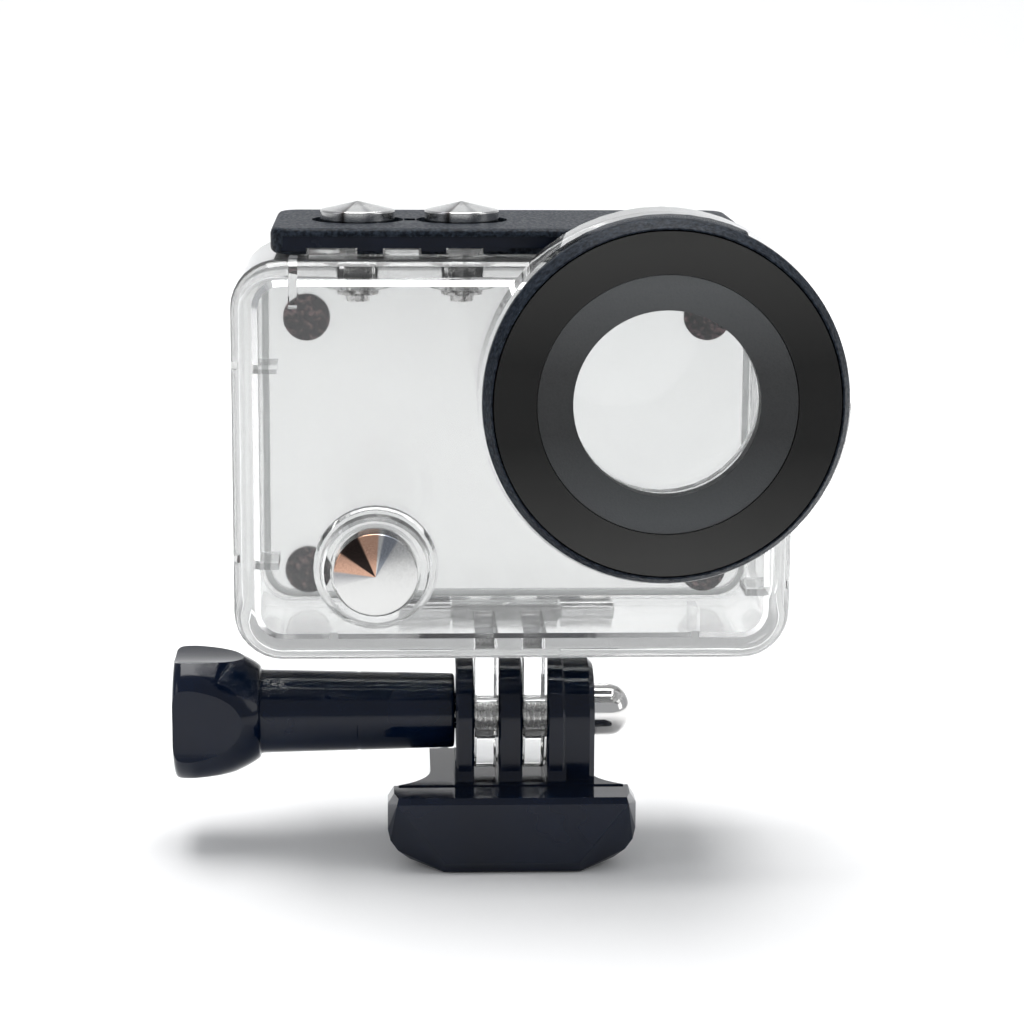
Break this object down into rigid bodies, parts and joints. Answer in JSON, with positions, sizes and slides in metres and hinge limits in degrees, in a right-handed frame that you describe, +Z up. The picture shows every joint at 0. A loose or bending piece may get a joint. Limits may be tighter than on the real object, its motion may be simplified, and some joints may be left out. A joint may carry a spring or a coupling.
{
  "type": "camera housing",
  "caption": "Clear waterproof housing for a small action camera, with a round lens port, three buttons, a hinged back door under a latch bar, and a tilting quick-release buckle mount.",
  "frame": {"origin": "the point of the buckle's flat underside straight below the tilt screw's axis, midway between the case's two fingers", "axes": "+Z up out of the underside, the lens port and front face -Y, +X to the viewer's right of the front, along the tilt screw"},
  "size_m": [0.0848, 0.0514, 0.085],
  "materials": {
    "clear_plastic": "polished, clear",
    "lens_glass": "polished, clear",
    "gloss_black_plastic": "glossy",
    "textured_black_plastic": "fine spark texture",
    "gloss_trim": "glossy",
    "satin_grey_plastic": "satin",
    "chrome": "spun, polished",
    "steel": "satin",
    "silicone": "soft, translucent",
    "black_rubber": "matt",
    "foam": "closed-cell foam"
  },
  "bodies": {
    "buckle": {"quick_release_buckle": "gloss_black_plastic", "cap_nut": "chrome"},
    "thumb_screw": {"thumb_knob": "gloss_black_plastic", "clamp_screw": "steel"},
    "case": {"front_case": "clear_plastic", "lens_bezel": "textured_black_plastic", "bezel_trim_ring": "gloss_trim", "lens_shade": "satin_grey_plastic", "lens_window": "lens_glass", "window_seal": "black_rubber", "door_hinge_pin": "steel", "latch_pin": "steel", "shutter_button_seal": "black_rubber", "mode_button_seal": "black_rubber", "power_button_seal": "black_rubber"},
    "door": {"back_door": "clear_plastic", "door_seal": "silicone", "pad_upper_left": "foam", "pad_upper_right": "foam", "pad_lower_left": "foam", "pad_lower_right": "foam"},
    "latch": {"latch_bar": "textured_black_plastic"},
    "shutter_button": {"shutter_button_cap": "chrome", "shutter_button_stem": "steel", "shutter_button_clip": "steel", "shutter_button_spring": "steel"},
    "mode_button": {"mode_button_cap": "chrome", "mode_button_stem": "steel", "mode_button_clip": "steel", "mode_button_spring": "steel"},
    "power_button": {"power_button_cap": "chrome", "power_button_stem": "steel", "power_button_clip": "steel", "power_button_spring": "steel"}
  },
  "joints": [
    {"name": "case_tilt", "type": "hinge", "parent": "buckle", "child": "case", "pos_m": [0, 0, 0.0175], "axis": [1, 0, 0], "range_deg": [-60, 60]},
    {"name": "thumb_screw_turn", "type": "hinge", "parent": "buckle", "child": "thumb_screw", "pos_m": [0, 0, 0.0175], "axis": [1, 0, 0], "continuous": true},
    {"name": "back_door_hinge", "type": "hinge", "parent": "case", "child": "door", "pos_m": [0, 0.0158, 0.0251], "axis": [-1, 0, 0], "range_deg": [0, 120]},
    {"name": "latch_hinge", "type": "hinge", "parent": "case", "child": "latch", "pos_m": [0, -0.0074, 0.0803], "axis": [1, 0, 0], "range_deg": [0, 90]},
    {"name": "shutter_button_press", "type": "slide", "parent": "case", "child": "shutter_button", "axis": [0, 0, -1], "range_m": [0, 0.0012], "stiffness_N_per_m": 800, "springref_m": -0.001, "deforming": ["shutter_button_spring"]},
    {"name": "mode_button_press", "type": "slide", "parent": "case", "child": "mode_button", "axis": [0, 0, -1], "range_m": [0, 0.0012], "stiffness_N_per_m": 800, "springref_m": -0.001, "deforming": ["mode_button_spring"]},
    {"name": "power_button_press", "type": "slide", "parent": "case", "child": "power_button", "axis": [0, 1, 0], "range_m": [0, 0.0012], "stiffness_N_per_m": 800, "springref_m": -0.001, "deforming": ["power_button_spring"]}
  ]
}
